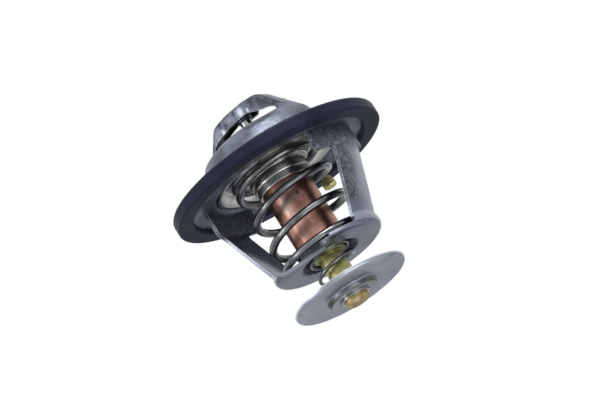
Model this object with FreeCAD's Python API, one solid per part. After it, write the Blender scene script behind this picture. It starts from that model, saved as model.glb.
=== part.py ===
import FreeCAD, Part
import math
import os

# Engine thermostat with a bypass valve, in millimetres.
# The origin is the centre of the gasket, and +Z points up through the strap.
# The strap and the two legs of the bridge lie along X.
# The valve is shut and cold, as the thermostat lies on a shelf.

# Gasket
gasket_radius = 33.5
gasket_height = 4.6
gasket_wall = 2.0
gasket_crown_width = 2.3
upper_lip_width = 4.1
lower_lip_width = 3.6
gasket_fit = 0.03

# Upper housing
housing_sheet = 1.2
flange_bottom_z = -0.9
mouth_radius = 19.7
shoulder_radius = 18.0
wall_top_z = 9.8
rim_radius = 14.0
rim_top_z = 11.7
strap_half_width = 4.0
strap_foot_x = 16.2
strap_bend_x = 7.7
strap_bend_z = 20.2
strap_bend_rounding = 4.5
strap_crown_x = 3.2
strap_crown_rounding = 9.0
strap_apex_z = 20.9
flank_foot_x = 14.6
flank_foot_z = 10.3
flank_bend_x = 9.0
flank_bend_z = 16.0
flank_bend_rounding = 4.0
flank_crown_rounding = 6.0
flank_apex_z = 17.5
strap_edge_radius = 1.5
window_corner_radius = 2.6
web_end_x = 10.2
web_lap = 0.3
boss_depth = 2.7
boss_radius = 2.7
flange_fillet = 1.0

# Piston
piston_radius = 1.88
staked_radius = 1.5
staked_head_radius = 2.6
staked_head_depth = 0.8
piston_reach = 18.0
stake_fit = 0.02

# Wax capsule
cup_radius = 7.4
cup_wall = 0.6
cup_rim_top_z = -5.0
cup_length = 23.3
cup_rim_overhang = 0.55
cup_rim_sheet = 0.4
cup_rim_bend = 0.3
collar_wall = 0.5
guide_flange_height = 0.6
guide_neck_radius = 4.2
guide_neck_top_z = 6.4
guide_body_depth = 2.0
guide_fit = 0.05
seal_height = 1.0
seal_wall = 1.3
washer_height = 0.8
sleeve_flange_height = 1.4
sleeve_wall = 1.5
sleeve_bottom_wall = 2.2
sleeve_play = 0.2
piston_end_play = 0.6
inner_fit = 0.03

# Valve plate
plate_sheet = 0.9
seat_gap = 0.3
plate_rim_z = -0.3
seat_width = 1.15
seat_z = 2.6
plate_lip_width = 0.8
collar_gap = 0.55
step_width = 1.45
step_heights = [1.1, -0.8]
plate_hole_radius = 6.0
plate_ring_width = 2.7
plate_ring_height = 0.8

# Lower bridge
bridge_sheet = 0.9
wing_radius = 24.4
wing_bottom_z = -7.6
wing_half_angle = 30.7
wing_corner_radius = 1.2
leg_half_width = 6.3
leg_waist_inset = 0.3
leg_waist_z = -27.0
leg_corner_radius = 1.6
leg_foot_rounding = 2.0
dish_radius = 17.7
dish_bottom_z = -30.6
dish_corner_radius = 1.8
dish_wall_height = 2.4
dish_rim_height = 1.4
cup_play = 0.35
guide_rim_flare = 1.1
guide_rim_height = 2.9
notch_distance = 9.85
notch_end = 1.0
notch_step_angle = -61.3
notch_turn = 20.9
notch_margin = 3.0

# Main spring
main_wire = 2.3
main_coil_play = 0.22
main_start_angle = -74.5
main_wound_angle = 1699.0
main_drops = [0.0, 0.025, 0.068, 0.180, 0.345, 0.502, 0.645, 0.785, 0.934, 0.997, 1.0]
spring_fit = 0.02

# Bypass rod
rod_radius = 3.85
rod_flange_radius = 5.2
rod_flange_height = 2.0
rod_end_z = -46.5
rod_chamfer = 0.5
groove_depth = 0.5
groove_height = 0.75
ring_radius = 4.85
ring_height = 0.7
ring_slot_half_width = 0.6
ring_slot_angle = 146.0

# Bypass disc and its spring
disc_radius = 18.0
disc_sheet = 0.8
disc_bottom_z = -42.5
disc_edge_height = 1.3
disc_edge_radius = 1.0
disc_boss_radius = 7.8
disc_boss_depth = 1.7
disc_fit = 0.07
disc_rest_gap = 0.05
bypass_wire = 1.1
bypass_coil_radius = 6.3
bypass_start_angle = 206.5
bypass_wound_angle = 1440.0
bypass_drops = [0.0, 0.054, 0.176, 0.306, 0.478, 0.665, 0.838, 0.960, 1.0]

# Jiggle pin
jiggle_hole_radius = 1.4
jiggle_stem_radius = 1.0
jiggle_head_radius = 2.2
jiggle_head_height = 0.8
jiggle_bulb_radius = 2.1
jiggle_bulb_length = 3.4
jiggle_collar_radius = 1.6
jiggle_collar_height = 0.9
jiggle_lift = 2.6
jiggle_rest_gap = 0.05

up = FreeCAD.Vector(0, 0, 1)
origin = FreeCAD.Vector(0, 0, 0)

# Heights and radii that follow from the sizes above
flange_radius = gasket_radius - gasket_wall
gasket_crown_radius = gasket_radius - gasket_crown_width
upper_lip_inner_radius = flange_radius - upper_lip_width
lower_lip_inner_radius = flange_radius - lower_lip_width
gasket_top_z = gasket_height / 2
gasket_bottom_z = -gasket_height / 2
flange_top_z = flange_bottom_z + housing_sheet
wall_radius = mouth_radius + housing_sheet
wall_slope = (wall_radius - shoulder_radius) / (wall_top_z - flange_top_z)
dome_slope = (rim_top_z - wall_top_z) / (shoulder_radius - rim_radius)
jiggle_y = (wall_radius + lower_lip_inner_radius) / 2
cup_bottom_z = cup_rim_top_z - cup_length
collar_radius = cup_radius + cup_rim_overhang + inner_fit + collar_wall
collar_bottom_z = cup_rim_top_z - cup_rim_sheet - collar_wall
collar_top_z = cup_rim_top_z + guide_flange_height + collar_wall
plate_step_radii = [collar_radius + collar_gap + i * step_width for i in range(3)]
main_coil_radius = plate_step_radii[2] + main_wire / 2 + main_coil_play
seat_radius = main_coil_radius + main_wire / 2 + seat_width
leg_waist_radius = dish_radius - leg_waist_inset
rod_flange_bottom_z = cup_bottom_z - rod_flange_height
boss_bottom_z = strap_apex_z - housing_sheet - boss_depth
piston_bottom_z = cup_rim_top_z - piston_reach
guide_body_bottom_z = cup_rim_top_z - guide_body_depth
washer_bottom_z = guide_body_bottom_z - washer_height
sleeve_flange_bottom_z = washer_bottom_z - sleeve_flange_height
sleeve_bottom_z = piston_bottom_z - piston_end_play - sleeve_bottom_wall
disc_boss_bottom_z = disc_bottom_z - disc_boss_depth
groove_top_z = disc_boss_bottom_z - disc_rest_gap


def corner(before, point, after):
    """Start, middle and end of the arc that rounds one corner, or the bare corner three times."""
    x, z, radius = point
    here = FreeCAD.Vector(x, 0, z)
    back = (FreeCAD.Vector(before[0], 0, before[1]) - here).normalize()
    ahead = (FreeCAD.Vector(after[0], 0, after[1]) - here).normalize()
    half_opening = back.getAngle(ahead) / 2
    if radius <= 0 or half_opening > math.radians(89.5):
        return here, here, here
    reach = radius / math.tan(half_opening)
    bisector = (back + ahead).normalize()
    middle = here + bisector * (radius / math.sin(half_opening) - radius)
    return here + back * reach, middle, here + ahead * reach


def face_of(points):
    """Face in the XZ plane from corners given as (x, z) or (x, z, rounding radius)."""
    full = [(p[0], p[1], p[2] if len(p) > 2 else 0) for p in points]
    count = len(full)
    corners = [corner(full[i - 1], full[i], full[(i + 1) % count]) for i in range(count)]
    edges = []
    for i in range(count):
        start, middle, end = corners[i]
        following = corners[(i + 1) % count][0]
        if start.distanceToPoint(end) > 1e-6:
            edges.append(Part.Arc(start, middle, end).toShape())
        if end.distanceToPoint(following) > 1e-6:
            edges.append(Part.LineSegment(end, following).toShape())
    return Part.Face(Part.Wire(edges))


def beside(points, distance):
    """Copy of an open outline, moved to its left by a distance, with its bends kept concentric."""
    full = [(p[0], p[1], p[2] if len(p) > 2 else 0) for p in points]
    moved = []
    for i, (x, z, radius) in enumerate(full):
        normals = []
        for a, b in ((i - 1, i), (i, i + 1)):
            if a >= 0 and b < len(full):
                dx = full[b][0] - full[a][0]
                dz = full[b][1] - full[a][1]
                length = math.hypot(dx, dz)
                normals.append((-dz / length, dx / length))
        if len(normals) == 1:
            moved.append((x + normals[0][0] * distance, z + normals[0][1] * distance, 0))
            continue
        (ax, az), (bx, bz) = normals
        share = distance / (1 + ax * bx + az * bz)
        turns_left = ax * bz - az * bx > 0
        inner = radius - distance if turns_left else radius + distance
        moved.append((x + (ax + bx) * share, z + (az + bz) * share, max(inner, 0) if radius else 0))
    return moved


def sheet_face(line, thickness):
    """Face of a bent sheet whose one side follows the open outline and whose other lies to its left."""
    return face_of(list(line) + beside(line, thickness)[::-1])


def turned(face):
    """Solid made by turning a face round Z."""
    return face.revolve(origin, up, 360)


def tube(outer_radius, inner_radius, bottom_z, top_z):
    """Plain ring round Z."""
    return turned(face_of([(inner_radius, bottom_z), (outer_radius, bottom_z),
                           (outer_radius, top_z), (inner_radius, top_z)]))


def block(low, high):
    """Box between two corners."""
    size = [high[i] - low[i] for i in range(3)]
    return Part.makeBox(size[0], size[1], size[2], FreeCAD.Vector(*low))


def extruded(face, half_depth):
    """Solid from a face in the XZ plane, as deep on both sides of it."""
    solid = face.extrude(FreeCAD.Vector(0, 2 * half_depth, 0))
    solid.translate(FreeCAD.Vector(0, -half_depth, 0))
    return solid


def turn_about_z(shape, degrees):
    """The shape, turned about Z."""
    shape.rotate(origin, up, degrees)
    return shape


def drop_at(shares, place):
    """Share of a spring's drop after some steps, on a smooth line through the listed shares."""
    last = len(shares) - 1
    step = min(int(place), last - 1)
    part = place - step
    before = shares[max(step - 1, 0)]
    here = shares[step]
    there = shares[step + 1]
    beyond = shares[min(step + 2, last)]
    leave = min((there - before) / 2, 3 * (there - here))
    arrive = min((beyond - here) / 2, 3 * (there - here))
    return (here * (2 * part ** 3 - 3 * part ** 2 + 1) + there * (3 * part ** 2 - 2 * part ** 3)
            + leave * (part ** 3 - 2 * part ** 2 + part) + arrive * (part ** 3 - part ** 2))


def spring(wire, coil_radius, start_angle, wound_angle, shares, top_z, bottom_z):
    """Right-handed round-wire spring that winds down from its top end, by a share each equal step."""
    drop = top_z - bottom_z - wire
    steps = len(shares) - 1
    points_per_step = 6
    points = []
    for i in range(steps * points_per_step + 1):
        place = i / points_per_step
        angle = math.radians(start_angle - wound_angle * place / steps)
        height = top_z - wire / 2 - drop * drop_at(shares, place)
        points.append(FreeCAD.Vector(coil_radius * math.cos(angle), coil_radius * math.sin(angle), height))
    curve = Part.BSplineCurve()
    curve.interpolate(points)
    path = Part.Wire([curve.toShape()])
    tangent = curve.tangent(curve.FirstParameter)[0]
    section = Part.Wire([Part.makeCircle(wire / 2, points[0], tangent)])
    return path.makePipeShell([section], True, True)


def inner_wall_radius(z):
    """Radius of the housing's tapered wall on the inside at a height."""
    square_sheet = housing_sheet * math.sqrt(1 + wall_slope ** 2)
    return wall_radius - wall_slope * (z - flange_top_z) - square_sheet


def dome_z(radius):
    """Height of the housing's sloping top on the outside at a radius."""
    return rim_top_z - dome_slope * (radius - rim_radius)


# Flange gasket: a moulded rubber ring whose groove grips the flange's edge
def flange_gasket():
    groove_radius = flange_radius + gasket_fit
    groove_top = flange_top_z + gasket_fit
    groove_bottom = flange_bottom_z - gasket_fit
    return turned(face_of([
        (lower_lip_inner_radius + 0.7, gasket_bottom_z, 0.3),
        (gasket_radius, gasket_bottom_z, 0.5),
        (gasket_radius, gasket_top_z - 0.9, 0.9),
        (gasket_crown_radius, gasket_top_z, 0.6),
        (upper_lip_inner_radius + 0.3, gasket_top_z, 0.4),
        (upper_lip_inner_radius, groove_top),
        (groove_radius, groove_top),
        (groove_radius, groove_bottom),
        (lower_lip_inner_radius, groove_bottom)]))


# Upper housing: one pressing, with the wall drawn up from the flange and the strap left between windows
def housing_wall():
    outer = [
        (flange_radius, flange_top_z),
        (wall_radius, flange_top_z, flange_fillet),
        (shoulder_radius, wall_top_z, 2.2),
        (rim_radius, rim_top_z)]
    return turned(sheet_face(outer, housing_sheet))


def mirrored(points):
    """The line with its mirror image behind it, on the other side of the axis."""
    return list(points) + [(-p[0],) + tuple(p[1:]) for p in points[::-1]]


def strap():
    half_over = [
        (strap_foot_x, dome_z(strap_foot_x) - 0.2),
        (strap_bend_x, strap_bend_z, strap_bend_rounding),
        (strap_crown_x, strap_apex_z, strap_crown_rounding)]
    half_under = [
        (flank_foot_x, flank_foot_z),
        (flank_bend_x, flank_bend_z, flank_bend_rounding),
        (strap_crown_x, flank_apex_z, flank_crown_rounding)]
    over = mirrored(half_over)
    solid = extruded(face_of(over + mirrored(half_under)[::-1]), strap_half_width)
    long_edges = [edge for edge in solid.Edges if is_crest_edge(edge, half_over)]
    solid = solid.makeFillet(strap_edge_radius, long_edges)
    hollow = sheet_face(beside(over, housing_sheet), strap_apex_z - flank_apex_z)
    return solid.cut(extruded(hollow, strap_half_width - housing_sheet))


def is_crest_edge(edge, half_over):
    """True for the edges along the strap's outer face, at both of its sides."""
    middle = edge.valueAt((edge.FirstParameter + edge.LastParameter) / 2)
    reach = abs(middle.x)
    crosswise = abs(edge.Vertexes[0].Y - edge.Vertexes[-1].Y) > 1e-6
    if crosswise or reach > flank_foot_x:
        return False
    outer_z = strap_apex_z
    for (far_x, far_z), (near_x, near_z) in zip([p[:2] for p in half_over], [p[:2] for p in half_over[1:]]):
        if near_x <= reach <= far_x:
            outer_z = near_z + (far_z - near_z) * (reach - near_x) / (far_x - near_x)
    return middle.z > outer_z - 1.2


def window():
    """Prism as wide as one window: a piece of the rim's circle beside the strap, with rounded corners."""
    low = rim_top_z - housing_sheet - 1
    height = flank_apex_z - low
    prism = Part.makeCylinder(rim_radius, height, FreeCAD.Vector(0, 0, low))
    prism = prism.cut(block((-rim_radius, -strap_half_width, low - 1),
                            (rim_radius, rim_radius, low + height + 1)))
    upright = [edge for edge in prism.Edges if abs(edge.Vertexes[0].Z - edge.Vertexes[-1].Z) > height / 2]
    return prism.makeFillet(window_corner_radius, upright)


def foot_webs():
    """Sheet that rises from the windows' corners along the lower edges of the strap's flanks."""
    foot = rim_radius + 0.2
    top_radius = flank_bend_x + 1.0
    top_z = flank_bend_z + 0.15
    webs = turned(face_of([
        (foot, dome_z(foot) - 0.2),
        (top_radius, top_z),
        (top_radius - 0.9, top_z - 0.8),
        (rim_radius - 0.45, rim_top_z - 0.95),
        (foot, rim_top_z - 0.9)]))
    webs = webs.cut(window()).cut(turn_about_z(window(), 180))
    side = strap_half_width - web_lap
    webs = webs.cut(block((-foot - 1, -side, 0), (foot + 1, side, strap_apex_z)))
    return webs.cut(block((-web_end_x, -foot - 1, 0), (web_end_x, foot + 1, strap_apex_z)))


def upper_housing():
    boss = turned(face_of([
        (staked_radius + stake_fit, boss_bottom_z),
        (boss_radius - 0.4, boss_bottom_z, 0.4),
        (boss_radius, strap_apex_z - housing_sheet - 0.6, 0.6),
        (boss_radius + 0.6, strap_apex_z - housing_sheet / 2),
        (staked_radius + stake_fit, strap_apex_z - housing_sheet / 2)]))
    body = housing_wall().multiFuse([strap(), foot_webs(), boss])
    recess = turned(face_of([
        (0, strap_apex_z - staked_head_depth),
        (staked_radius + stake_fit, strap_apex_z - staked_head_depth),
        (staked_head_radius + stake_fit, strap_apex_z),
        (staked_head_radius + stake_fit, strap_apex_z + 1),
        (0, strap_apex_z + 1)]))
    bore = Part.makeCylinder(staked_radius + stake_fit, boss_depth + 2 * housing_sheet,
                             FreeCAD.Vector(0, 0, boss_bottom_z - housing_sheet))
    pin_hole = Part.makeCylinder(jiggle_hole_radius, 3 * housing_sheet,
                                 FreeCAD.Vector(0, jiggle_y, flange_bottom_z - housing_sheet))
    return body.cut(recess).cut(bore).cut(pin_hole).removeSplitter()


# Piston: a ground steel pin, staked in the strap's boss
def piston():
    return turned(face_of([
        (0, piston_bottom_z),
        (piston_radius, piston_bottom_z, 0.6),
        (piston_radius, boss_bottom_z),
        (staked_radius, boss_bottom_z),
        (staked_radius, strap_apex_z - staked_head_depth),
        (staked_head_radius, strap_apex_z),
        (0, strap_apex_z)]))


# Wax capsule: a drawn copper cup, closed by a turned guide and a rolled steel collar
def capsule_cup():
    outer_line = [
        (0, cup_bottom_z),
        (cup_radius, cup_bottom_z, 1.0),
        (cup_radius, cup_rim_top_z - cup_rim_sheet, cup_rim_bend),
        (cup_radius + cup_rim_overhang, cup_rim_top_z - cup_rim_sheet),
        (cup_radius + cup_rim_overhang, cup_rim_top_z),
        (cup_radius - cup_wall, cup_rim_top_z),
        (cup_radius - cup_wall, cup_bottom_z + cup_wall, 0.5),
        (0, cup_bottom_z + cup_wall)]
    return turned(face_of(outer_line))


def crimp_collar():
    rim = cup_radius + cup_rim_overhang + inner_fit
    lip = cup_radius + cup_rim_bend + inner_fit
    return turned(face_of([
        (lip, collar_bottom_z),
        (collar_radius, collar_bottom_z, 0.4),
        (collar_radius, collar_top_z, 0.4),
        (cup_radius - cup_wall, collar_top_z),
        (cup_radius - cup_wall, collar_top_z - collar_wall),
        (rim, collar_top_z - collar_wall),
        (rim, collar_bottom_z + collar_wall),
        (lip, collar_bottom_z + collar_wall)]))


def piston_guide():
    bore = piston_radius + guide_fit
    seal_seat = bore + seal_wall
    return turned(face_of([
        (bore, guide_body_bottom_z),
        (cup_radius - cup_wall - inner_fit, guide_body_bottom_z),
        (cup_radius - cup_wall - inner_fit, cup_rim_top_z),
        (cup_radius + cup_rim_overhang, cup_rim_top_z),
        (cup_radius + cup_rim_overhang, cup_rim_top_z + guide_flange_height),
        (plate_hole_radius - inner_fit, cup_rim_top_z + guide_flange_height),
        (plate_hole_radius - inner_fit, collar_top_z + plate_sheet),
        (guide_neck_radius, collar_top_z + plate_sheet),
        (guide_neck_radius, guide_neck_top_z, 0.6),
        (seal_seat, guide_neck_top_z),
        (seal_seat, guide_neck_top_z - seal_height),
        (bore, guide_neck_top_z - seal_height)]))


def guide_seal():
    bore = piston_radius + guide_fit
    return tube(bore + seal_wall - inner_fit, bore, guide_neck_top_z - seal_height, guide_neck_top_z - 0.1)


def backup_washer():
    bore = piston_radius + guide_fit
    return tube(cup_radius - cup_wall - inner_fit, bore, washer_bottom_z, guide_body_bottom_z)


def sleeve_outline(grown):
    """Outside of the sleeve below its flange, grown by a clearance."""
    boot = piston_radius + sleeve_play + sleeve_wall + grown
    return [
        (0, sleeve_bottom_z - grown),
        (boot - 0.9, sleeve_bottom_z - grown, 1.5),
        (boot, sleeve_flange_bottom_z - grown)]


def rubber_sleeve():
    pocket = piston_radius + sleeve_play
    return turned(face_of(sleeve_outline(0) + [
        (cup_radius - cup_wall - inner_fit, sleeve_flange_bottom_z),
        (cup_radius - cup_wall - inner_fit, washer_bottom_z),
        (pocket, washer_bottom_z),
        (pocket, piston_bottom_z - piston_end_play, 0.6),
        (0, piston_bottom_z - piston_end_play)]))


def wax_charge():
    wall = cup_radius - cup_wall - inner_fit
    return turned(face_of(sleeve_outline(inner_fit) + [
        (wall, sleeve_flange_bottom_z - inner_fit),
        (wall, cup_bottom_z + cup_wall + inner_fit, 0.5),
        (0, cup_bottom_z + cup_wall + inner_fit)]))


# Valve plate: a stepped pressing, clamped on the guide's neck
def valve_plate():
    plate_radius = inner_wall_radius(plate_rim_z + plate_sheet) - seat_gap
    lip_z = collar_top_z
    third, second, first = plate_step_radii
    upper_step, lower_step = step_heights
    line = [
        (plate_hole_radius, lip_z),
        (third - 0.1, lip_z, 0.6),
        (third, lower_step, 0.2),
        (second - 0.1, lower_step, 0.5),
        (second, upper_step, 0.2),
        (first - 0.1, upper_step, 0.5),
        (first, seat_z, 0.2),
        (seat_radius, seat_z, 1.0),
        (plate_radius - plate_lip_width, plate_rim_z, 0.3),
        (plate_radius, plate_rim_z)]
    return turned(sheet_face(line, plate_sheet))


def plate_retaining_ring():
    low = collar_top_z + plate_sheet
    bore = guide_neck_radius + inner_fit
    return tube(bore + plate_ring_width, bore, low, low + plate_ring_height)


# Lower bridge: one pressing of two T-shaped ends, two legs and the spring's dish
def bridge_shell():
    guide_foot = cup_radius + cup_play + guide_rim_flare
    line = [
        (cup_radius + cup_play, dish_bottom_z + guide_rim_height),
        (guide_foot, dish_bottom_z, 1.0),
        (dish_radius, dish_bottom_z, dish_corner_radius),
        (dish_radius, dish_bottom_z + dish_wall_height, 1.2),
        (leg_waist_radius, leg_waist_z, 2.0),
        (wing_radius, wing_bottom_z + 0.6, 3.0),
        (wing_radius, flange_bottom_z)]
    return turned(sheet_face(line, bridge_sheet))


def bridge_mask():
    """Front view of what stays of the turned shell: the T shapes with the dish below them."""
    wing_half_width = wing_radius * math.sin(math.radians(wing_half_angle))
    rim_z = dish_bottom_z + dish_rim_height
    beyond = dish_radius + 4
    low = dish_bottom_z - 1
    right = [
        (beyond, low),
        (beyond, rim_z),
        (leg_half_width, rim_z, leg_foot_rounding),
        (leg_half_width, wing_bottom_z, leg_corner_radius),
        (wing_half_width, wing_bottom_z, wing_corner_radius),
        (wing_half_width, flange_bottom_z + 1)]
    mask = extruded(face_of(mirrored(right)), wing_radius + 2)
    return turn_about_z(mask, 90)


def bridge_notch():
    """Prism that takes a straight-edged piece out of the dish's rim, up to a slanting step."""
    step = math.radians(notch_step_angle)
    below = dish_bottom_z - 1
    beyond = dish_radius + notch_margin
    run = (beyond - notch_distance) / -math.tan(step)
    corners = [
        FreeCAD.Vector(-beyond, -notch_distance, below),
        FreeCAD.Vector(notch_end, -notch_distance, below),
        FreeCAD.Vector(notch_end + run, -beyond, below),
        FreeCAD.Vector(-beyond, -beyond, below)]
    prism = Part.Face(Part.makePolygon(corners + corners[:1])).extrude(up * (dish_rim_height + notch_margin))
    return turn_about_z(prism, notch_turn)


def lower_bridge():
    bridge = bridge_shell().common(bridge_mask())
    return bridge.cut(bridge_notch()).removeSplitter()


# Main spring: between the valve plate's seat and the dish
def main_spring():
    return spring(main_wire, main_coil_radius, main_start_angle, main_wound_angle, main_drops,
                  seat_z - spring_fit, dish_bottom_z + bridge_sheet + spring_fit)


# Bypass rod: turned brass, with a flange on the cup's end and a groove for the ring
def bypass_rod():
    groove = rod_radius - groove_depth
    return turned(face_of([
        (0, rod_end_z),
        (rod_radius - rod_chamfer, rod_end_z),
        (rod_radius, rod_end_z + rod_chamfer),
        (rod_radius, groove_top_z - groove_height),
        (groove, groove_top_z - groove_height),
        (groove, groove_top_z),
        (rod_radius, groove_top_z),
        (rod_radius, rod_flange_bottom_z, 0.3),
        (rod_flange_radius, rod_flange_bottom_z, 0.4),
        (rod_flange_radius, cup_bottom_z),
        (0, cup_bottom_z)]))


def bypass_retaining_ring():
    bore = rod_radius - groove_depth + inner_fit
    ring = tube(ring_radius, bore, groove_top_z - ring_height, groove_top_z)
    slot = block((0, -ring_slot_half_width, groove_top_z - ring_height - 1),
                 (ring_radius + 1, ring_slot_half_width, groove_top_z + 1))
    return ring.cut(turn_about_z(slot, ring_slot_angle))


def bypass_disc():
    line = [
        (rod_radius + disc_fit, disc_boss_bottom_z),
        (disc_boss_radius, disc_boss_bottom_z, 0.9),
        (disc_boss_radius + 0.5, disc_bottom_z, 0.5),
        (disc_radius, disc_bottom_z, disc_edge_radius),
        (disc_radius, disc_bottom_z + disc_edge_height)]
    return turned(sheet_face(line, disc_sheet))


def bypass_spring():
    return spring(bypass_wire, bypass_coil_radius, bypass_start_angle, bypass_wound_angle, bypass_drops,
                  cup_bottom_z - spring_fit, disc_boss_bottom_z + disc_sheet + spring_fit)


# Jiggle pin: a loose brass pin that lets trapped air past the shut valve
def jiggle_pin():
    head_z = flange_top_z + jiggle_rest_gap
    bulb_top_z = flange_bottom_z - jiggle_lift
    bulb_bottom_z = bulb_top_z - jiggle_bulb_length
    pin = turned(face_of([
        (0, bulb_bottom_z),
        (jiggle_bulb_radius, bulb_bottom_z, 0.6),
        (jiggle_bulb_radius, bulb_top_z - jiggle_collar_height, 0.4),
        (jiggle_collar_radius, bulb_top_z - jiggle_collar_height),
        (jiggle_collar_radius, bulb_top_z, 0.2),
        (jiggle_stem_radius, bulb_top_z),
        (jiggle_stem_radius, head_z),
        (jiggle_head_radius, head_z),
        (jiggle_head_radius, head_z + jiggle_head_height, 0.5),
        (0, head_z + jiggle_head_height)]))
    pin.translate(FreeCAD.Vector(0, jiggle_y, 0))
    return pin


pieces = {
    "upper_housing": upper_housing,
    "flange_gasket": flange_gasket,
    "lower_bridge": lower_bridge,
    "piston": piston,
    "main_spring": main_spring,
    "valve_plate": valve_plate,
    "plate_retaining_ring": plate_retaining_ring,
    "crimp_collar": crimp_collar,
    "capsule_cup": capsule_cup,
    "piston_guide": piston_guide,
    "guide_seal": guide_seal,
    "backup_washer": backup_washer,
    "rubber_sleeve": rubber_sleeve,
    "wax_charge": wax_charge,
    "bypass_rod": bypass_rod,
    "bypass_retaining_ring": bypass_retaining_ring,
    "bypass_spring": bypass_spring,
    "bypass_disc": bypass_disc,
    "jiggle_pin": jiggle_pin,
}

os.makedirs("parts", exist_ok=True)
for name, make in pieces.items():
    shape = make()
    if len(shape.Solids) == 1:
        shape = shape.Solids[0]
    print(name, len(shape.Solids), shape.isValid(), round(shape.Volume, 2))
    shape.exportStep("parts/" + name + ".step")
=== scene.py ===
import bmesh
import bpy
import math
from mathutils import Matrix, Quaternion, Vector


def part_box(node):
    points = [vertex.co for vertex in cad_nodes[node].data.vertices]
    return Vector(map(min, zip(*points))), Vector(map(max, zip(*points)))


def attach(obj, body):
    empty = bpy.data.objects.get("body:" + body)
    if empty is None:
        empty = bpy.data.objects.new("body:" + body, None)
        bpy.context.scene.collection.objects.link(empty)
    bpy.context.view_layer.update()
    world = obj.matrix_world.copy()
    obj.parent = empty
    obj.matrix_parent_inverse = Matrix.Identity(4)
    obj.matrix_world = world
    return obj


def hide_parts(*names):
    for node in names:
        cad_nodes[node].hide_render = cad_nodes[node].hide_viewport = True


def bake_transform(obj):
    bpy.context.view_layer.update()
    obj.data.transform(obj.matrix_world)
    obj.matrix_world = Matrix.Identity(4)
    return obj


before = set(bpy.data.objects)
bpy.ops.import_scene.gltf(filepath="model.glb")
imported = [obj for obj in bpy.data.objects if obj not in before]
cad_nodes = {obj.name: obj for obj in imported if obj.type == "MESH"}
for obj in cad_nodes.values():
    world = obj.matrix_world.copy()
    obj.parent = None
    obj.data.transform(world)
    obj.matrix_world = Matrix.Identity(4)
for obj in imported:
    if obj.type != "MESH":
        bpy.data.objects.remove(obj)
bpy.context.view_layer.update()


# The view. The photograph looks up at the thermostat from 16 degrees below, from far away and
# through a long lens, with the picture rolled 32 degrees, so that the strap points up and left.
LENS_MM = 360.4
SENSOR_MM = 36.0
CLIP_START, CLIP_END = 0.05, 60.0
DISTANCE = 1.7189
ROUND_THE_AXIS = math.radians(26.5)
LOOK_UP = math.radians(16.2006)
ROLL = math.radians(32.195)
AIM = Vector((0.00124, 0.0, -0.01149))


def as_seen(direction):
    """Direction given as right, away and up from the camera's side, in the part's own frame."""
    return Quaternion((0, 0, 1), ROUND_THE_AXIS) @ Vector(direction)


camera_data = bpy.data.cameras.new("camera")
camera_data.lens = LENS_MM
camera_data.sensor_width = SENSOR_MM
camera_data.clip_start, camera_data.clip_end = CLIP_START, CLIP_END
camera = bpy.data.objects.new("camera", camera_data)
bpy.context.scene.collection.objects.link(camera)
camera.rotation_mode = "QUATERNION"
camera.rotation_quaternion = (Quaternion((0, 0, 1), ROUND_THE_AXIS)
                              @ Quaternion((1, 0, 0), math.radians(90) + LOOK_UP)
                              @ Quaternion((0, 0, 1), -ROLL))
camera.location = as_seen(AIM - Vector((0.0, math.cos(LOOK_UP), math.sin(LOOK_UP))) * DISTANCE)
bpy.context.scene.camera = camera
bpy.context.scene.view_settings.view_transform = "Standard"


# The studio. The part is held in the air over a wide white floor, in a white room. The camera and
# the metal see the room as white, and it lights matt surfaces softly, together with three lamps.
ROOM_WHITE = (1.0, 1.0, 1.0, 1.0)
ROOM_LIGHT = (0.42, 0.43, 0.45, 1.0)
FLOOR_DEPTH = 0.62
FLOOR_SIZE = 30.0
FLOOR_WHITE = (0.96, 0.96, 0.96, 1.0)
FLOOR_ROUGHNESS = 0.9
FLOOR_GLOW = 0.38
LAMP_DISTANCE = 0.9

world = bpy.data.worlds.new("white room")
bpy.context.scene.world = world
world.use_nodes = True
room = world.node_tree
room.nodes.clear()
room_output = room.nodes.new("ShaderNodeOutputWorld")
seen_room = room.nodes.new("ShaderNodeBackground")
seen_room.inputs["Color"].default_value = ROOM_WHITE
lighting_room = room.nodes.new("ShaderNodeBackground")
lighting_room.inputs["Color"].default_value = ROOM_LIGHT
ray = room.nodes.new("ShaderNodeLightPath")
seen = ray.outputs["Is Camera Ray"]
for kind in ("Is Glossy Ray", "Is Transmission Ray"):
    either = room.nodes.new("ShaderNodeMath")
    either.operation = "MAXIMUM"
    room.links.new(seen, either.inputs[0])
    room.links.new(ray.outputs[kind], either.inputs[1])
    seen = either.outputs[0]
room_mix = room.nodes.new("ShaderNodeMixShader")
room.links.new(seen, room_mix.inputs["Fac"])
room.links.new(lighting_room.outputs["Background"], room_mix.inputs[1])
room.links.new(seen_room.outputs["Background"], room_mix.inputs[2])
room.links.new(room_mix.outputs["Shader"], room_output.inputs["Surface"])

half = FLOOR_SIZE / 2
floor_mesh = bpy.data.meshes.new("floor")
floor_corners = [(-half, -half, 0), (half, -half, 0), (half, half, 0), (-half, half, 0)]
floor_mesh.from_pydata(floor_corners, [], [(0, 1, 2, 3)])
floor = bpy.data.objects.new("floor", floor_mesh)
floor.location.z = -FLOOR_DEPTH
bpy.context.scene.collection.objects.link(floor)
floor_paint = bpy.data.materials.new("white floor")
floor_paint.use_nodes = True
floor_mesh.materials.append(floor_paint)
floor_tree = floor_paint.node_tree
floor_shader = floor_tree.nodes["Principled BSDF"]
floor_shader.inputs["Base Color"].default_value = FLOOR_WHITE
floor_shader.inputs["Roughness"].default_value = FLOOR_ROUGHNESS
floor_shader.inputs["Emission Color"].default_value = ROOM_WHITE
floor_ray = floor_tree.nodes.new("ShaderNodeLightPath")
glow = floor_tree.nodes.new("ShaderNodeMath")
glow.operation = "MULTIPLY"
glow.inputs[1].default_value = FLOOR_GLOW
floor_tree.links.new(floor_ray.outputs["Is Camera Ray"], glow.inputs[0])
floor_tree.links.new(glow.outputs[0], floor_shader.inputs["Emission Strength"])


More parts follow.
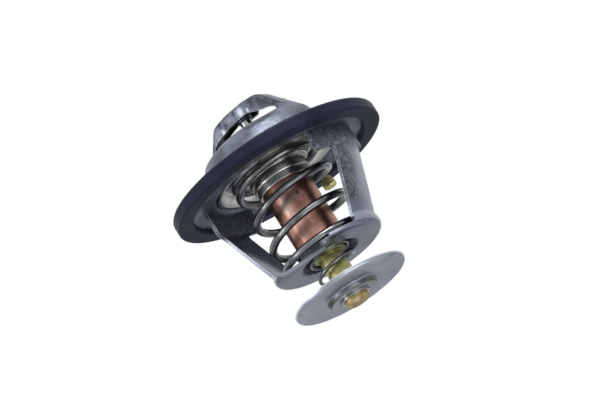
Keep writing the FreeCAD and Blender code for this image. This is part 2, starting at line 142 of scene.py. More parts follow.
def soft_box(name, towards, size, power):
    """Soft studio lamp that shines on the part from a direction given from the camera's side."""
    lamp_data = bpy.data.lights.new(name, "AREA")
    lamp_data.shape = "RECTANGLE"
    lamp_data.size, lamp_data.size_y = size
    lamp_data.energy = power
    lamp = bpy.data.objects.new(name, lamp_data)
    direction = as_seen(towards).normalized()
    lamp.location = direction * LAMP_DISTANCE + Vector((0, 0, AIM.z))
    lamp.rotation_euler = direction.to_track_quat("Z", "Y").to_euler()
    bpy.context.scene.collection.objects.link(lamp)


soft_box("key light", (0.35, -0.75, 0.75), (0.4, 0.4), 5.5)
soft_box("side light", (-0.95, -0.45, 0.0), (0.3, 0.8), 2.2)
soft_box("low light", (0.5, -0.9, -0.8), (0.6, 0.4), 2.5)


# Upper housing: one pressing of satin steel sheet, 1.2 mm thick, with two punched windows and the
# strap between them. The press leaves faint rings on the flange, darker smears and bright edges.
HOUSING_DARK = (0.055, 0.062, 0.085)
HOUSING_MID = (0.135, 0.15, 0.185)
HOUSING_LIGHT = (0.24, 0.265, 0.315)
HOUSING_EDGE = (0.36, 0.39, 0.44)
HOUSING_SMEAR = (0.09, 0.10, 0.13)
HOUSING_GRIT = (0.06, 0.065, 0.08)

# Painted highlights and painted shade on the strap's near flank, as (x, z, size, tone), and
# creases, as (x, z, size), in metres.
FLANK_Y = -0.004
PAINTED_HIGHLIGHT_TONE = (0.66, 0.70, 0.76)
PAINTED_SHADE_TONE = (0.045, 0.045, 0.055)
STRAP_LIGHT_AND_SHADE_MARKS = [(0.0021, 0.0188, 0.0022, PAINTED_HIGHLIGHT_TONE), (0.0045, 0.0180, 0.0010, PAINTED_HIGHLIGHT_TONE),
               (-0.0058, 0.0172, 0.0014, PAINTED_HIGHLIGHT_TONE), (-0.0042, 0.0186, 0.0016, PAINTED_SHADE_TONE),
               (-0.0058, 0.0200, 0.0016, PAINTED_SHADE_TONE), (0.0066, 0.0190, 0.0030, PAINTED_SHADE_TONE),
               (0.0092, 0.0186, 0.0034, PAINTED_SHADE_TONE), (0.0112, 0.0168, 0.0034, PAINTED_SHADE_TONE),
               (0.0128, 0.0146, 0.0028, PAINTED_SHADE_TONE), (-0.0112, 0.0150, 0.0022, PAINTED_SHADE_TONE),
               (0.0000, 0.0200, 0.0012, PAINTED_SHADE_TONE)]
MARK_STRETCH = (1.5, 0.5, 0.8)
STRAP_CREASES = [(0.0002, 0.0186, 0.0016), (0.0052, 0.0192, 0.0013), (-0.0088, 0.0168, 0.0014)]
CREASE_STRETCH = (1.6, 0.4, 0.5)
CREASE_DEPTH_MM = 0.12
PRESS_RINGS = 260.0
PRESS_RINGS_WAVER = 0.6

# An edge is worn, and on the gasket painted as a highlight, where the normals round it lie apart,
# by the cosine of the angle between them.
EDGE_SAMPLES = 4
EDGE_COSINES = (0.97, 0.80)

# How far the photograph's uneven strap stands out from the even one of the solid, in metres.
RIGHT_SHOULDER = 0.0013
RIGHT_FOOT = 0.0028
LEFT_SHOULDER = 0.0010
CREST_RISE = 0.0006
NEAR_FLANK_DROP = 0.0014
FAR_FLANK_RISE = 0.0016

# Where each bend of the strap fades in, as the places where it starts and where it is whole.
STRAP_Z = (0.0094, 0.0120)
STRAP_Y = (0.0100, 0.0055)
FOOT_TO_SHOULDER_Z = (0.0125, 0.0195)
SHOULDER_X = (0.0030, 0.0100)
CREST_Z = (0.0178, 0.0198)
ROUND_THE_PISTON = (0.0027, 0.0036)
FLANK_EDGE_Z = (0.0116, 0.0134)
FLANK_SIDE_Y = (0.0022, 0.0031)
BELOW_THE_CREST = (0.0010, 0.0022)
NEAR_FLANK_X = (0.0045, 0.0075)
FAR_FLANK_INNER_X = (0.0027, 0.0042)
FAR_FLANK_OUTER_X = (0.0118, 0.0092)

# The crest's line along the strap: its top, the ease before its shoulders, and their slope.
CREST_TOP = 0.0209
CREST_EASE = 0.0007
CREST_EASE_X = (0.0032, 0.0077)
SHOULDER_SLOPE = 1.12


def finish(name, metallic=1.0):
    """New material for one finish, with its nodes and its shader."""
    material = bpy.data.materials.new(name)
    material.use_nodes = True
    shader = material.node_tree.nodes["Principled BSDF"]
    shader.inputs["Metallic"].default_value = metallic
    return material, material.node_tree, shader


def place(tree, stretch=(1, 1, 1), shift=(0, 0, 0)):
    """Position on the part in metres, stretched and shifted for a texture."""
    coordinates = tree.nodes.new("ShaderNodeTexCoord")
    mapping = tree.nodes.new("ShaderNodeMapping")
    mapping.inputs["Scale"].default_value = stretch
    mapping.inputs["Location"].default_value = shift
    tree.links.new(coordinates.outputs["Object"], mapping.inputs["Vector"])
    return mapping.outputs["Vector"]


def mottle(tree, patch_mm, stretch=(1, 1, 1), shift=(0, 0, 0), detail=5.0, roughness=0.6):
    """Cloudy value from 0 to 1 with patches of a size in millimetres."""
    noise = tree.nodes.new("ShaderNodeTexNoise")
    noise.inputs["Scale"].default_value = 1000.0 / patch_mm
    noise.inputs["Detail"].default_value = detail
    noise.inputs["Roughness"].default_value = roughness
    tree.links.new(place(tree, stretch, shift), noise.inputs["Vector"])
    return noise.outputs["Fac"]


def tones(tree, value, stops):
    """Colour or grey for each level of a value, with stops as (level, tone)."""
    node = tree.nodes.new("ShaderNodeValToRGB")
    elements = node.color_ramp.elements
    while len(elements) < len(stops):
        elements.new(0.5)
    for element, (level, tone) in zip(elements, stops):
        element.position = level
        element.color = (*tone, 1.0) if isinstance(tone, tuple) else (tone, tone, tone, 1.0)
    tree.links.new(value, node.inputs["Fac"])
    return node.outputs["Color"]


def sum_up(tree, operation, first, second):
    """Two values, or a value and a number, brought together by one sum."""
    node = tree.nodes.new("ShaderNodeMath")
    node.operation = operation
    for socket, part in zip(node.inputs, (first, second)):
        if isinstance(part, (int, float)):
            socket.default_value = part
        else:
            tree.links.new(part, socket)
    return node.outputs[0]


def overlay(tree, amount, under, over):
    """Second colour laid over the first, as thick as the amount says."""
    node = tree.nodes.new("ShaderNodeMix")
    node.data_type = "RGBA"
    tree.links.new(amount, node.inputs["Factor"])
    for socket, colour in zip((node.inputs[6], node.inputs[7]), (under, over)):
        if isinstance(colour, tuple):
            socket.default_value = (*colour, 1.0)
        else:
            tree.links.new(colour, socket)
    return node.outputs[2]


def along(tree, axis):
    """Position along X, Y or Z in metres."""
    split = tree.nodes.new("ShaderNodeSeparateXYZ")
    tree.links.new(place(tree), split.inputs["Vector"])
    return split.outputs[axis]


def ramp_between(tree, value, start, end):
    """0 at and before the start, 1 at and after the end."""
    node = tree.nodes.new("ShaderNodeMapRange")
    node.interpolation_type = "SMOOTHSTEP"
    node.inputs["From Min"].default_value = start
    node.inputs["From Max"].default_value = end
    tree.links.new(value, node.inputs["Value"])
    return node.outputs["Result"]


def from_axis(tree):
    """Distance from the thermostat's axis in metres."""
    flat = tree.nodes.new("ShaderNodeVectorMath")
    flat.operation = "LENGTH"
    tree.links.new(place(tree, stretch=(1, 1, 0)), flat.inputs[0])
    return flat.outputs["Value"]


def edge_wear_and_highlight(tree, radius_mm):
    """1 on sharp edges, where the finish has worn bright and, on the gasket, where a highlight is
    painted, and 0 on the flat.
    """
    bevel = tree.nodes.new("ShaderNodeBevel")
    bevel.samples = EDGE_SAMPLES
    bevel.inputs["Radius"].default_value = radius_mm / 1000
    surface = tree.nodes.new("ShaderNodeNewGeometry")
    turn = tree.nodes.new("ShaderNodeVectorMath")
    turn.operation = "DOT_PRODUCT"
    tree.links.new(bevel.outputs["Normal"], turn.inputs[0])
    tree.links.new(surface.outputs["Normal"], turn.inputs[1])
    return ramp_between(tree, turn.outputs["Value"], *EDGE_COSINES)


def relief(tree, shader, layers):
    """Bumps laid one over another, each given as (height, depth in millimetres)."""
    normal = None
    for height, depth_mm in layers:
        node = tree.nodes.new("ShaderNodeBump")
        node.inputs["Distance"].default_value = depth_mm / 1000
        tree.links.new(height, node.inputs["Height"])
        if normal:
            tree.links.new(normal, node.inputs["Normal"])
        normal = node.outputs["Normal"]
    tree.links.new(normal, shader.inputs["Normal"])


def spot(tree, centre, radius, stretch=(1, 1, 1)):
    """1 at a point, falling to 0 at a radius round it."""
    apart = tree.nodes.new("ShaderNodeVectorMath")
    apart.operation = "DISTANCE"
    tree.links.new(place(tree, stretch), apart.inputs[0])
    apart.inputs[1].default_value = [c * s for c, s in zip(centre, stretch)]
    return ramp_between(tree, apart.outputs["Value"], radius, 0.0)


def coat(tree, shader, colour, roughness):
    """Gives a finish its colour and its roughness."""
    tree.links.new(colour, shader.inputs["Base Color"])
    tree.links.new(roughness, shader.inputs["Roughness"])


def dress(piece, material):
    """Puts a finish on a piece of the frame."""
    slots = cad_nodes[piece].material_slots
    if not slots:
        cad_nodes[piece].data.materials.append(material)
    for slot in slots:
        slot.material = material


housing_steel, tree, shader = finish("satin pressed steel")
clouds = mottle(tree, 9.0, stretch=(1, 1, 1.6))
smears = mottle(tree, 3.0, stretch=(1, 1, 2.5), shift=(0.02, 0.01, 0.0))
grit = mottle(tree, 0.35, detail=2.0)
colour = tones(tree, clouds, [(0.32, HOUSING_DARK), (0.50, HOUSING_MID), (0.70, HOUSING_LIGHT)])
colour = overlay(tree, tones(tree, smears, [(0.58, 0.0), (0.72, 0.55)]), colour, HOUSING_SMEAR)
colour = overlay(tree, tones(tree, grit, [(0.66, 0.0), (0.76, 0.5)]), colour, HOUSING_GRIT)
# Painted highlights and painted shade on the strap's near flank, broken up by the smears.
for mark_x, mark_z, mark_size, mark_tone in STRAP_LIGHT_AND_SHADE_MARKS:
    mark = spot(tree, (mark_x, FLANK_Y, mark_z), mark_size, MARK_STRETCH)
    mark = sum_up(tree, "MULTIPLY", mark, sum_up(tree, "ADD", smears, 0.35))
    colour = overlay(tree, mark, colour, mark_tone)
colour = overlay(tree, edge_wear_and_highlight(tree, 0.35), colour, HOUSING_EDGE)
coat(tree, shader, colour, tones(tree, smears, [(0.3, 0.36), (0.7, 0.52)]))
rings = tree.nodes.new("ShaderNodeTexWave")
rings.wave_type = "RINGS"
rings.rings_direction = "Z"
rings.inputs["Scale"].default_value = PRESS_RINGS
rings.inputs["Distortion"].default_value = PRESS_RINGS_WAVER
tree.links.new(place(tree), rings.inputs["Vector"])
layers = [(rings.outputs["Fac"], 0.004), (mottle(tree, 4.5), 0.12), (grit, 0.01)]
for crease_x, crease_z, crease_size in STRAP_CREASES:
    crease = spot(tree, (crease_x, FLANK_Y, crease_z), crease_size, CREASE_STRETCH)
    layers.append((crease, -CREASE_DEPTH_MM))
relief(tree, shader, layers)


def from_node(piece, material):
    """New piece with a copy of a node's shape and a finish, which stands for the node, now hidden.
    """
    shape = bpy.data.objects.new(piece + "_shape", cad_nodes[piece].data.copy())
    bpy.context.scene.collection.objects.link(shape)
    shape.data.materials.clear()
    shape.data.materials.append(material)
    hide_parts(piece)
    return shape


def eased(value, start, end):
    """0 at and before the start, 1 at and after the end, and smooth between."""
    share = min(1.0, max(0.0, (value - start) / (end - start)))
    return share * share * (3 - 2 * share)


def crest_height(x):
    """Height of the solid's crest along the strap."""
    return (CREST_TOP - CREST_EASE * eased(abs(x), *CREST_EASE_X)
            - SHOULDER_SLOPE * max(0.0, abs(x) - CREST_EASE_X[1]))


housing = from_node("upper_housing", housing_steel)
for vertex in housing.data.vertices:
    x, y, z = vertex.co
    strap = eased(z, *STRAP_Z) * eased(abs(y), *STRAP_Y)
    right = RIGHT_FOOT + (RIGHT_SHOULDER - RIGHT_FOOT) * eased(z, *FOOT_TO_SHOULDER_Z)
    vertex.co.x += strap * (right * eased(x, *SHOULDER_X) - LEFT_SHOULDER * eased(-x, *SHOULDER_X))
    crest = eased(z, *CREST_Z) * eased(math.hypot(x, y), *ROUND_THE_PISTON)
    flank = eased(z, *FLANK_EDGE_Z) * eased(abs(y), *FLANK_SIDE_Y)
    flank *= eased(crest_height(x) - z, *BELOW_THE_CREST)
    near = flank * (y < 0) * eased(x, *NEAR_FLANK_X)
    far = flank * (y > 0) * eased(abs(x), *FAR_FLANK_INNER_X) * eased(abs(x), *FAR_FLANK_OUTER_X)
    vertex.co.z += CREST_RISE * crest - NEAR_FLANK_DROP * near + FAR_FLANK_RISE * far
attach(housing, "frame")


# Flange gasket: a moulded ring of navy-black rubber that grips the flange's edge. A thin line runs
# round it where the mould's halves met, and the lower edge has a fine raised bead.
RUBBER_DARK = (0.006, 0.007, 0.018)
RUBBER_LIGHT = (0.014, 0.018, 0.046)
RUBBER_PORES = (0.10, 0.11, 0.15)
RUBBER_LINE = (0.035, 0.04, 0.08)
RUBBER_EDGE_HIGHLIGHT = (0.05, 0.055, 0.10)
RUBBER_SHEEN = 0.15
MOULD_LINE_FROM_BELOW_Z = (-0.00042, -0.00034)
MOULD_LINE_FROM_ABOVE_Z = (-0.00022, -0.00030)
LOWER_BEAD_Z = (-0.00150, -0.00185)

gasket_rubber, tree, shader = finish("navy-black rubber", metallic=0.0)
bloom = mottle(tree, 7.0, stretch=(1, 1, 3))
pores = mottle(tree, 0.25, detail=3.0)
colour = tones(tree, bloom, [(0.35, RUBBER_DARK), (0.7, RUBBER_LIGHT)])
colour = overlay(tree, tones(tree, pores, [(0.70, 0.0), (0.80, 0.35)]), colour, RUBBER_PORES)
height = along(tree, "Z")
mould_line = sum_up(tree, "MULTIPLY", ramp_between(tree, height, *MOULD_LINE_FROM_BELOW_Z),
                    ramp_between(tree, height, *MOULD_LINE_FROM_ABOVE_Z))
lower_bead = ramp_between(tree, height, *LOWER_BEAD_Z)
colour = overlay(tree, sum_up(tree, "MULTIPLY", mould_line, 0.6), colour, RUBBER_LINE)
# Painted highlight on the gasket's edges.
colour = overlay(tree, sum_up(tree, "MULTIPLY", edge_wear_and_highlight(tree, 0.3), 0.5), colour, RUBBER_EDGE_HIGHLIGHT)
coat(tree, shader, colour, tones(tree, bloom, [(0.3, 0.46), (0.7, 0.60)]))
shader.inputs["Specular IOR Level"].default_value = RUBBER_SHEEN
relief(tree, shader, [(mould_line, 0.12), (lower_bead, -0.06), (mottle(tree, 2.0), 0.03),
                      (pores, 0.015)])
dress("flange_gasket", gasket_rubber)


# Lower bridge: one pressing of 0.9 mm steel. It hangs from the flange by two T-shaped ends, and its
# dish holds the spring. Grit, oil and painted shade darken the ends and the near half of the right
# leg.
BRIDGE_DARK = (0.045, 0.05, 0.07)
BRIDGE_MID = (0.17, 0.19, 0.24)
BRIDGE_LIGHT = (0.34, 0.37, 0.44)
BRIDGE_GRIT_AND_SHADE = [(0.36, (0.02, 0.022, 0.032)), (0.46, (0.09, 0.097, 0.125)),
               (0.55, (0.17, 0.18, 0.22)), (0.66, (0.46, 0.48, 0.54))]
SHEARED_EDGE = (0.60, 0.59, 0.57)
WELL_PAINTED_SHADE = (0.035, 0.037, 0.045)
GRIT_AND_SHADE_ENDS_Z = (-0.0105, -0.0075)
GRIT_AND_SHADE_LEG_X = (0.012, 0.016)
GRIT_AND_SHADE_LEG_Y = (0.0040, -0.0010)
GRIT_AND_SHADE_LEG_Z = (-0.0255, -0.0225)
GRIT_AND_SHADE_WANDER = 0.006
WELL_RADIUS = (0.0100, 0.0088)

# The collar that guides the capsule, as (radius, height) once round its section, turned round Z.
COLLAR_SIDES = 128
COLLAR_PROFILE = [(0.00952, -0.02985), (0.00938, -0.02945), (0.00866, -0.02740),
                  (0.00862, -0.02660), (0.00856, -0.02640), (0.00838, -0.02628),
                  (0.00796, -0.02628), (0.00778, -0.02640), (0.00772, -0.02660),
                  (0.00772, -0.02765), (0.00853, -0.02985)]

bridge_steel, tree, shader = finish("pressed steel with grit and painted shade")
clouds = mottle(tree, 11.0)
grain = mottle(tree, 0.5, stretch=(1, 1, 0.35), detail=3.0)
specks = mottle(tree, 1.0, detail=6.0, roughness=0.85)
colour = tones(tree, clouds, [(0.3, BRIDGE_MID), (0.7, BRIDGE_LIGHT)])
colour = overlay(tree, tones(tree, grain, [(0.55, 0.0), (0.75, 0.25)]), colour, BRIDGE_DARK)
# Grit specks and painted shade darken the ends and the near half of the right leg.
ends = ramp_between(tree, along(tree, "Z"), *GRIT_AND_SHADE_ENDS_Z)
wander = sum_up(tree, "MULTIPLY", clouds, GRIT_AND_SHADE_WANDER)
leg = ramp_between(tree, sum_up(tree, "ADD", along(tree, "Y"), wander), *GRIT_AND_SHADE_LEG_Y)
leg = sum_up(tree, "MULTIPLY", leg, ramp_between(tree, along(tree, "X"), *GRIT_AND_SHADE_LEG_X))
leg = sum_up(tree, "MULTIPLY", leg, ramp_between(tree, along(tree, "Z"), *GRIT_AND_SHADE_LEG_Z))
grit_and_shade = sum_up(tree, "MAXIMUM", ends, leg)
grit_and_shade_colour = tones(tree, specks, BRIDGE_GRIT_AND_SHADE)
colour = overlay(tree, sum_up(tree, "MULTIPLY", grit_and_shade, 0.88), colour, grit_and_shade_colour)
# Painted shade in the well round the collar.
well_shade = sum_up(tree, "MULTIPLY", ramp_between(tree, from_axis(tree), *WELL_RADIUS),
              sum_up(tree, "ADD", grain, 0.45))
colour = overlay(tree, well_shade, colour, WELL_PAINTED_SHADE)
colour = overlay(tree, edge_wear_and_highlight(tree, 0.3), colour, SHEARED_EDGE)
coat(tree, shader, colour, tones(tree, grit_and_shade, [(0.0, 0.30), (1.0, 0.48)]))
relief(tree, shader, [(mottle(tree, 5.0), 0.10), (specks, 0.02), (grain, 0.006)])

bridge = from_node("lower_bridge", bridge_steel)
pressing = bmesh.new()
pressing.from_mesh(bridge.data)
sections = []
for step in range(COLLAR_SIDES):
    angle = math.tau * step / COLLAR_SIDES
    across, along_y = math.cos(angle), math.sin(angle)
    sections.append([pressing.verts.new((radius * across, radius * along_y, height))
                     for radius, height in COLLAR_PROFILE])
for step, section in enumerate(sections):
    previous = sections[step - 1]
    for here in range(len(COLLAR_PROFILE)):
        there = (here + 1) % len(COLLAR_PROFILE)
        face = pressing.faces.new((previous[here], section[here], section[there], previous[there]))
        face.smooth = True
pressing.to_mesh(bridge.data)
pressing.free()
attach(bridge, "frame")


# Piston: a ground pin of hard steel, staked in the strap, that the capsule slides on. Polishing has
# left fine lines along it.
GROUND_DARK = (0.26, 0.27, 0.28)
GROUND_LIGHT = (0.52, 0.53, 0.54)

piston_steel, tree, shader = finish("ground steel")
polish = mottle(tree, 0.5, stretch=(1, 1, 0.05), detail=2.0)
colour = tones(tree, polish, [(0.3, GROUND_DARK), (0.7, GROUND_LIGHT)])
coat(tree, shader, colour, tones(tree, polish, [(0.3, 0.16), (0.7, 0.28)]))
relief(tree, shader, [(polish, 0.006)])
dress("piston", piston_steel)


# Valve plate and the capsule's rolled collar: stepped steel pressings with a bright drawn surface.
# They were drawn round the axis, so the fine scratches run round it too, under thin brown stains.
PLATE_DARK = (0.42, 0.415, 0.40)
PLATE_MID = (0.58, 0.575, 0.555)
PLATE_LIGHT = (0.82, 0.81, 0.79)
PLATE_STAIN = (0.24, 0.225, 0.20)
PLATE_EDGE = (0.75, 0.74, 0.72)
DRAWN_BANDS = 450.0
DRAWN_BANDS_DETAIL = 1.5

plate_steel, tree, shader = finish("bright drawn steel")
bands = tree.nodes.new("ShaderNodeTexNoise")
bands.noise_dimensions = "1D"
bands.inputs["Scale"].default_value = DRAWN_BANDS
bands.inputs["Detail"].default_value = DRAWN_BANDS_DETAIL
tree.links.new(from_axis(tree), bands.inputs["W"])
stains = mottle(tree, 6.0, stretch=(1, 1, 2))
colour = tones(tree, bands.outputs["Fac"],
               [(0.35, PLATE_DARK), (0.5, PLATE_MID), (0.68, PLATE_LIGHT)])
colour = overlay(tree, tones(tree, stains, [(0.55, 0.0), (0.7, 0.5)]), colour, PLATE_STAIN)
colour = overlay(tree, edge_wear_and_highlight(tree, 0.3), colour, PLATE_EDGE)
coat(tree, shader, colour, tones(tree, stains, [(0.3, 0.17), (0.7, 0.26)]))
relief(tree, shader, [(bands.outputs["Fac"], 0.003), (mottle(tree, 4.0, detail=1.0), 0.02)])
for piece in ("valve_plate", "crimp_collar"):
    dress(piece, plate_steel)


# Wax capsule: a deep-drawn copper cup, matt and brownish pink. It has dents from handling, a nick,
# painted highlights and darker heat stains. The steel collar is rolled over its rim.
COPPER_DARK = (0.21, 0.095, 0.075)
COPPER_MID = (0.36, 0.18, 0.14)
COPPER_LIGHT = (0.52, 0.30, 0.25)
COPPER_BLUSH = (0.26, 0.12, 0.09)
COPPER_HIGHLIGHT_PAINT = (0.88, 0.66, 0.58)
COPPER_LINES = (0.62, 0.40, 0.34)
CUP_FRONT = -0.0067

# Painted highlights as (right, up, size, strength), the nick as (x, y, z), dents as (x, y, z,
# size).
COPPER_PAINTED_HIGHLIGHTS = [(-0.0030, -0.0125, 0.0030, 0.85), (-0.0022, -0.0178, 0.0026, 0.6),
                 (0.0006, -0.0098, 0.0034, 0.4)]
COPPER_NICK = (0.0048, -0.0056, -0.0112)
COPPER_NICK_SIZE = 0.0007
COPPER_NICK_DARK = (0.05, 0.02, 0.015)
COPPER_DENTS = [(-0.0052, -0.0053, -0.0165, 0.0034), (0.0012, -0.0073, -0.0205, 0.0030),
                (0.0035, -0.0065, -0.0118, 0.0022), (-0.0030, -0.0068, -0.0242, 0.0026)]
COPPER_DENT_DEPTH_MM = 0.14

copper, tree, shader = finish("drawn copper")
heat = mottle(tree, 8.0, stretch=(1, 1, 0.6), detail=3.0)
blush = mottle(tree, 1.2, shift=(0.01, 0.03, 0.0))
drawing = mottle(tree, 0.35, stretch=(1, 1, 0.08), detail=2.0)
colour = tones(tree, heat, [(0.3, COPPER_DARK), (0.48, COPPER_MID), (0.66, COPPER_LIGHT)])
colour = overlay(tree, tones(tree, blush, [(0.55, 0.0), (0.7, 0.3)]), colour, COPPER_BLUSH)
# Painted highlights, placed as the camera sees the cup.
for highlight_right, highlight_up, highlight_size, strength in COPPER_PAINTED_HIGHLIGHTS:
    painted_highlight = spot(tree, as_seen((highlight_right, CUP_FRONT, highlight_up)), highlight_size, (1, 1, 0.7))
    colour = overlay(tree, sum_up(tree, "MULTIPLY", painted_highlight, strength), colour, COPPER_HIGHLIGHT_PAINT)
colour = overlay(tree, tones(tree, drawing, [(0.62, 0.0), (0.8, 0.25)]), colour, COPPER_LINES)
nick = spot(tree, COPPER_NICK, COPPER_NICK_SIZE, (1, 1, 0.6))
colour = overlay(tree, nick, colour, COPPER_NICK_DARK)
coat(tree, shader, colour, tones(tree, blush, [(0.3, 0.30), (0.7, 0.42)]))
layers = [(mottle(tree, 5.0, detail=2.0), 0.10), (blush, 0.008), (drawing, 0.004)]
for dent_x, dent_y, dent_z, dent_size in COPPER_DENTS:
    dent = spot(tree, (dent_x, dent_y, dent_z), dent_size, (1, 1, 0.55))
    layers.append((dent, -COPPER_DENT_DEPTH_MM))
relief(tree, shader, layers)
dress("capsule_cup", copper)


# Main spring and bypass spring: drawn steel wire, oiled and dark, with small bright flecks and
# rust-brown specks. They are wound right-handed, and they close up as the valves move.
WIRE_DARK = (0.12, 0.125, 0.13)
WIRE_LIGHT = (0.24, 0.245, 0.25)
WIRE_FLECKS = (0.46, 0.46, 0.45)
WIRE_RUST = (0.10, 0.07, 0.05)

# The bypass spring's wire goes from its start angle down through a share of its height at each
# quarter turn, in metres and degrees. Its top turn is closed and lies in the dish's well.
COIL_RADIUS = 0.0063
WIRE_RADIUS = 0.00055
COIL_START = 206.5
COIL_SHARES = [0.0, 0.022, 0.045, 0.067, 0.098, 0.165, 0.270, 0.385, 0.485,
               0.575, 0.665, 0.755, 0.838, 0.905, 0.960, 0.988, 1.0]
STEPS_A_QUARTER = 12
WIRE_SIDES = 14

spring_steel, tree, shader = finish("oiled spring wire")
film = mottle(tree, 4.0)
flecks = mottle(tree, 0.3, detail=3.0)
colour = tones(tree, film, [(0.35, WIRE_DARK), (0.65, WIRE_LIGHT)])
colour = overlay(tree, tones(tree, flecks, [(0.62, 0.0), (0.78, 0.25)]), colour, WIRE_FLECKS)
rust = mottle(tree, 1.1, shift=(0.03, 0.0, 0.01))
colour = overlay(tree, tones(tree, rust, [(0.64, 0.0), (0.76, 0.35)]), colour, WIRE_RUST)
coat(tree, shader, colour, tones(tree, flecks, [(0.3, 0.20), (0.7, 0.28)]))
relief(tree, shader, [(flecks, 0.002)])


def smooth_height(heights, place_between):
    """Height on a smooth curve through a list of heights, at a place such as 2.5 in the list."""
    number = int(place_between)
    share = place_between - number
    before, here, after, later = (heights[min(max(number + k, 0), len(heights) - 1)]
                                  for k in (-1, 0, 1, 2))
    return (here + share * (after - before) / 2
            + share ** 2 * (before - 2.5 * here + 2 * after - later / 2)
            + share ** 3 * (3 * here - 3 * after + later - before) / 2)


def wound_wire(name, start_angle, heights):
    """Round wire wound round the axis from an angle, through heights a quarter turn apart."""
    points = []
    steps = (len(heights) - 1) * STEPS_A_QUARTER
    for step in range(steps + 1):
        quarters = step / STEPS_A_QUARTER
        height = smooth_height(heights, quarters)
        angle = math.radians(start_angle - 90 * quarters)
        outward = Vector((math.cos(angle), math.sin(angle), 0))
        for side in range(WIRE_SIDES):
            turn = math.tau * side / WIRE_SIDES
            points.append(outward * (COIL_RADIUS + WIRE_RADIUS * math.cos(turn))
                          + Vector((0, 0, height + WIRE_RADIUS * math.sin(turn))))
    faces = []
    for first in range(0, steps * WIRE_SIDES, WIRE_SIDES):
        second = first + WIRE_SIDES
        for side in range(WIRE_SIDES):
            beside = (side + 1) % WIRE_SIDES
            faces.append((first + side, first + beside, second + beside, second + side))
    faces.append(tuple(reversed(range(WIRE_SIDES))))
    faces.append(tuple(range(steps * WIRE_SIDES, (steps + 1) * WIRE_SIDES)))
    mesh = bpy.data.meshes.new(name)
    mesh.from_pydata(points, [], faces)
    mesh.shade_smooth()
    mesh.materials.append(spring_steel)
    wire = bpy.data.objects.new(name, mesh)
    bpy.context.scene.collection.objects.link(wire)
    return wire


main_spring = from_node("main_spring", spring_steel)
low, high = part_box("main_spring")
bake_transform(main_spring)

low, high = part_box("bypass_spring")
coil_top = high[2] - WIRE_RADIUS
coil_drop = low[2] + WIRE_RADIUS - coil_top
bypass_spring = wound_wire("bypass_spring_wire", COIL_START,
                           [coil_top + coil_drop * share for share in COIL_SHARES])
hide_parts("bypass_spring")
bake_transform(bypass_spring)


# Bypass rod: turned from brass bar, dull olive yellow with tool marks round it. The stud end below
# the disc has a warmer, brown-gold skin.
BRASS_DARK = (0.27, 0.265, 0.10)
BRASS_MID = (0.40, 0.395, 0.165)
BRASS_LIGHT = (0.66, 0.65, 0.36)
BRASS_LINES = (0.62, 0.60, 0.36)
BRASS_EDGE = (0.80, 0.76, 0.50)
STUD_TONES = [(0.33, (0.22, 0.15, 0.05)), (0.5, (0.46, 0.35, 0.14)), (0.68, (0.78, 0.67, 0.38))]
STUD_Z = (-0.0437, -0.0442)

rod_brass, tree, shader = finish("turned brass")
turning = mottle(tree, 0.8, stretch=(0.25, 0.25, 2.2), detail=3.0)
patches = mottle(tree, 3.6, shift=(0.0, 0.02, 0.01), detail=2.0)
colour = tones(tree, patches, [(0.33, BRASS_DARK), (0.5, BRASS_MID), (0.68, BRASS_LIGHT)])
stud = ramp_between(tree, along(tree, "Z"), *STUD_Z)
colour = overlay(tree, stud, colour, tones(tree, patches, STUD_TONES))
colour = overlay(tree, tones(tree, turning, [(0.56, 0.0), (0.72, 0.25)]), colour, BRASS_LINES)
colour = overlay(tree, sum_up(tree, "MULTIPLY", edge_wear_and_highlight(tree, 0.25), 0.8), colour, BRASS_EDGE)
coat(tree, shader, colour, tones(tree, patches, [(0.3, 0.38), (0.7, 0.46)]))
relief(tree, shader, [(turning, 0.006), (patches, 0.01)])
dress("bypass_rod", rod_brass)


# Jiggle pin and piston guide: turned from brass bar as well, and brighter than the rod, because
# nothing rubs on them. The pin hangs loose in the flange, and the guide is crimped in the cup.
BRIGHT_BRASS = [(0.35, (0.50, 0.46, 0.17)), (0.55, (0.60, 0.56, 0.24)), (0.72, (0.78, 0.74, 0.42))]

bright_brass, tree, shader = finish("bright brass")
lathe = mottle(tree, 1.2, stretch=(0.3, 0.3, 2.5), detail=1.0)
colour = tones(tree, lathe, BRIGHT_BRASS)
coat(tree, shader, colour, tones(tree, lathe, [(0.3, 0.36), (0.7, 0.44)]))
relief(tree, shader, [(lathe, 0.001)])
for piece in ("jiggle_pin", "piston_guide"):
    dress(piece, bright_brass)


# Bypass disc: a pressed steel disc with a turned-up rim and a raised boss, that slides on the rod.
# It has a satin grey skin with a few pits and a bright edge, a painted brownish reflection of the
# brass on the boss and painted shade in the boss's step.
DISC_MID = (0.30, 0.325, 0.38)
DISC_LIGHT = (0.50, 0.53, 0.60)
DISC_RUBBED = (0.16, 0.18, 0.22)
DISC_PITS = (0.06, 0.06, 0.07)
DISC_EDGE = (0.80, 0.82, 0.85)
BOSS_BRASS_REFLECTION = (0.36, 0.29, 0.17)
BOSS_RADIUS = (0.0088, 0.0076)
BOSS_STEP_SHADE = (0.05, 0.055, 0.07)
BOSS_STEP_INNER_RADIUS = (0.0073, 0.0077)
BOSS_STEP_OUTER_RADIUS = (0.0084, 0.0081)

disc_steel, tree, shader = finish("satin disc steel")
sheen = mottle(tree, 14.0)
rub = mottle(tree, 1.6)
pits = mottle(tree, 0.5, detail=1.0)
colour = tones(tree, sheen, [(0.32, DISC_MID), (0.66, DISC_LIGHT)])
colour = overlay(tree, tones(tree, rub, [(0.6, 0.0), (0.76, 0.3)]), colour, DISC_RUBBED)
colour = overlay(tree, tones(tree, pits, [(0.76, 0.0), (0.82, 0.8)]), colour, DISC_PITS)
radius = from_axis(tree)
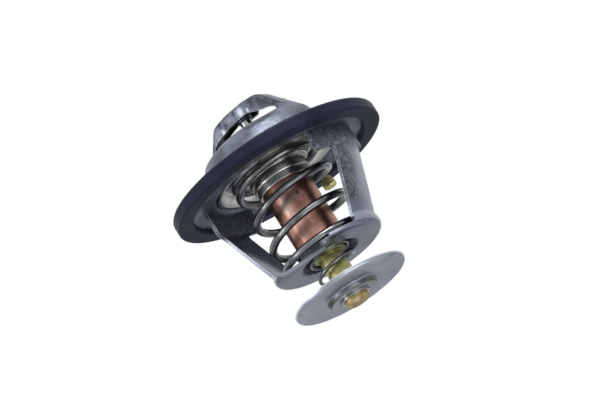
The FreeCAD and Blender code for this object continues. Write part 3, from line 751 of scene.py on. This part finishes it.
# Painted reflection of the brass stud on the boss.
boss_reflection = sum_up(tree, "MULTIPLY", ramp_between(tree, radius, *BOSS_RADIUS),
              tones(tree, mottle(tree, 2.5, shift=(0.01, 0, 0)), [(0.48, 0.0), (0.62, 0.75)]))
colour = overlay(tree, boss_reflection, colour, BOSS_BRASS_REFLECTION)
# Painted shade in the step round the boss.
boss_step_shade = sum_up(tree, "MULTIPLY", ramp_between(tree, radius, *BOSS_STEP_INNER_RADIUS),
                   ramp_between(tree, radius, *BOSS_STEP_OUTER_RADIUS))
boss_step_shade = sum_up(tree, "MULTIPLY", boss_step_shade, tones(tree, sheen, [(0.40, 0.55), (0.60, 0.95)]))
colour = overlay(tree, boss_step_shade, colour, BOSS_STEP_SHADE)
colour = overlay(tree, edge_wear_and_highlight(tree, 0.35), colour, DISC_EDGE)
coat(tree, shader, colour, tones(tree, rub, [(0.3, 0.28), (0.7, 0.40)]))
relief(tree, shader, [(mottle(tree, 6.0, detail=2.0), 0.05), (rub, 0.004), (pits, 0.01)])
dress("bypass_disc", disc_steel)


# Retaining rings: stamped spring steel, polished by tumbling. One snaps into the rod's groove under
# the disc, and the other holds the valve plate on the guide's neck.
TUMBLED_DARK = (0.34, 0.34, 0.35)
TUMBLED_LIGHT = (0.64, 0.64, 0.66)

ring_steel, tree, shader = finish("tumbled spring steel")
tumble = mottle(tree, 0.5, detail=3.0)
colour = tones(tree, tumble, [(0.35, TUMBLED_DARK), (0.65, TUMBLED_LIGHT)])
coat(tree, shader, colour, tones(tree, tumble, [(0.3, 0.16), (0.7, 0.30)]))
relief(tree, shader, [(tumble, 0.008)])
for piece in ("bypass_retaining_ring", "plate_retaining_ring"):
    dress(piece, ring_steel)


# Inside the capsule: the black rubber seal and boot round the piston, the white plastic washer
# behind them and the wax, with metal powder in it, that fills the cup.
BOOT_DARK = (0.012, 0.012, 0.013)
BOOT_LIGHT = (0.035, 0.035, 0.037)
WASHER_DARK = (0.62, 0.61, 0.57)
WASHER_LIGHT = (0.78, 0.77, 0.73)
WAX_DARK = (0.34, 0.19, 0.10)
WAX_LIGHT = (0.62, 0.46, 0.32)

inner_rubber, tree, shader = finish("black boot rubber", metallic=0.0)
skin = mottle(tree, 1.0)
colour = tones(tree, skin, [(0.3, BOOT_DARK), (0.7, BOOT_LIGHT)])
coat(tree, shader, colour, tones(tree, skin, [(0.3, 0.45), (0.7, 0.6)]))
relief(tree, shader, [(skin, 0.02)])
for piece in ("guide_seal", "rubber_sleeve"):
    dress(piece, inner_rubber)

washer_plastic, tree, shader = finish("white washer plastic", metallic=0.0)
milk = mottle(tree, 2.0)
colour = tones(tree, milk, [(0.3, WASHER_DARK), (0.7, WASHER_LIGHT)])
coat(tree, shader, colour, tones(tree, milk, [(0.3, 0.35), (0.7, 0.5)]))
relief(tree, shader, [(milk, 0.01)])
dress("backup_washer", washer_plastic)

wax, tree, shader = finish("wax with metal powder", metallic=0.0)
powder = mottle(tree, 0.6, detail=2.0)
colour = tones(tree, powder, [(0.4, WAX_DARK), (0.65, WAX_LIGHT)])
coat(tree, shader, colour, tones(tree, powder, [(0.3, 0.5), (0.7, 0.65)]))
relief(tree, shader, [(powder, 0.02)])
dress("wax_charge", wax)
